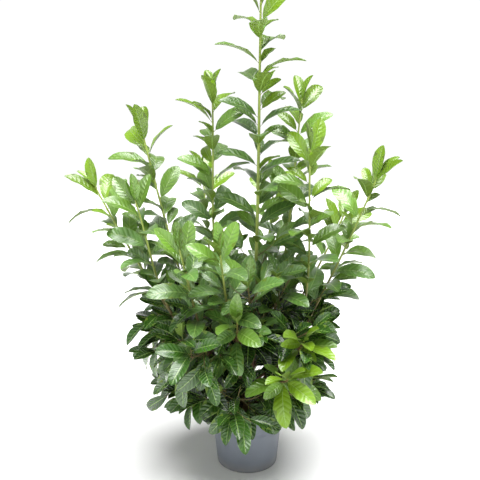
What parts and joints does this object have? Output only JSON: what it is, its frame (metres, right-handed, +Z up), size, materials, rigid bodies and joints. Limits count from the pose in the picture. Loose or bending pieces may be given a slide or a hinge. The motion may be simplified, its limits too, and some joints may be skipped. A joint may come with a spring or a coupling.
{
  "type": "potted cherry laurel",
  "caption": "Upright evergreen shrub with tall leafy shoots and glossy oval leaves, standing in a round plastic nursery pot of compost.",
  "frame": {"origin": "centre of the pot's flat underside, on the surface it stands on", "axes": "+Z up through the pot and the shrub, +X to the right and +Y to the back of the usual view"},
  "size_m": [1.0143, 0.7099, 1.5085],
  "materials": {
    "pot": "satin grey moulded plastic",
    "compost": "dark moist bark compost",
    "bark": "smooth brown bark with small pores",
    "young_foliage": "glossy fresh green leaves on pale green stems",
    "foliage": "glossy deep green leaves on brown twigs"
  },
  "bodies": {
    "root": {"pot": "pot", "soil": "compost", "trunk": "bark", "bough_left": "bark", "bough_far_left": "bark", "bough_left_center": "bark", "bough_right": "bark", "bough_right_center": "bark", "bough_right_back": "bark", "bough_front_left": "bark", "bough_front": "bark", "bough_front_right": "bark", "bough_back": "bark", "bough_back_left": "bark", "bough_back_right": "bark", "shoot_leader": "young_foliage", "shoot_left_center": "young_foliage", "shoot_right_back": "young_foliage", "shoot_right_center": "young_foliage", "shoot_right": "young_foliage", "shoot_left": "young_foliage", "shoot_far_left": "young_foliage", "shoot_left_mid": "young_foliage", "shoot_front_left": "young_foliage", "shoot_front": "young_foliage", "shoot_front_low": "young_foliage", "shoot_front_right": "young_foliage", "shoot_low_right": "young_foliage", "shoot_back": "young_foliage", "shoot_back_right": "young_foliage", "shoot_back_left": "young_foliage", "shoulder_1": "foliage", "shoulder_2": "foliage", "shoulder_3": "foliage", "shoulder_4": "foliage", "shoulder_5": "foliage", "shoulder_6": "foliage", "middle_1": "foliage", "middle_2": "foliage", "middle_3": "foliage", "middle_4": "foliage", "middle_5": "foliage", "middle_6": "foliage", "middle_7": "foliage", "middle_8": "foliage", "skirt_1": "foliage", "skirt_2": "foliage", "skirt_3": "foliage", "skirt_4": "foliage", "skirt_5": "foliage", "skirt_6": "foliage", "skirt_7": "foliage", "skirt_8": "foliage"}
  },
  "joints": []
}
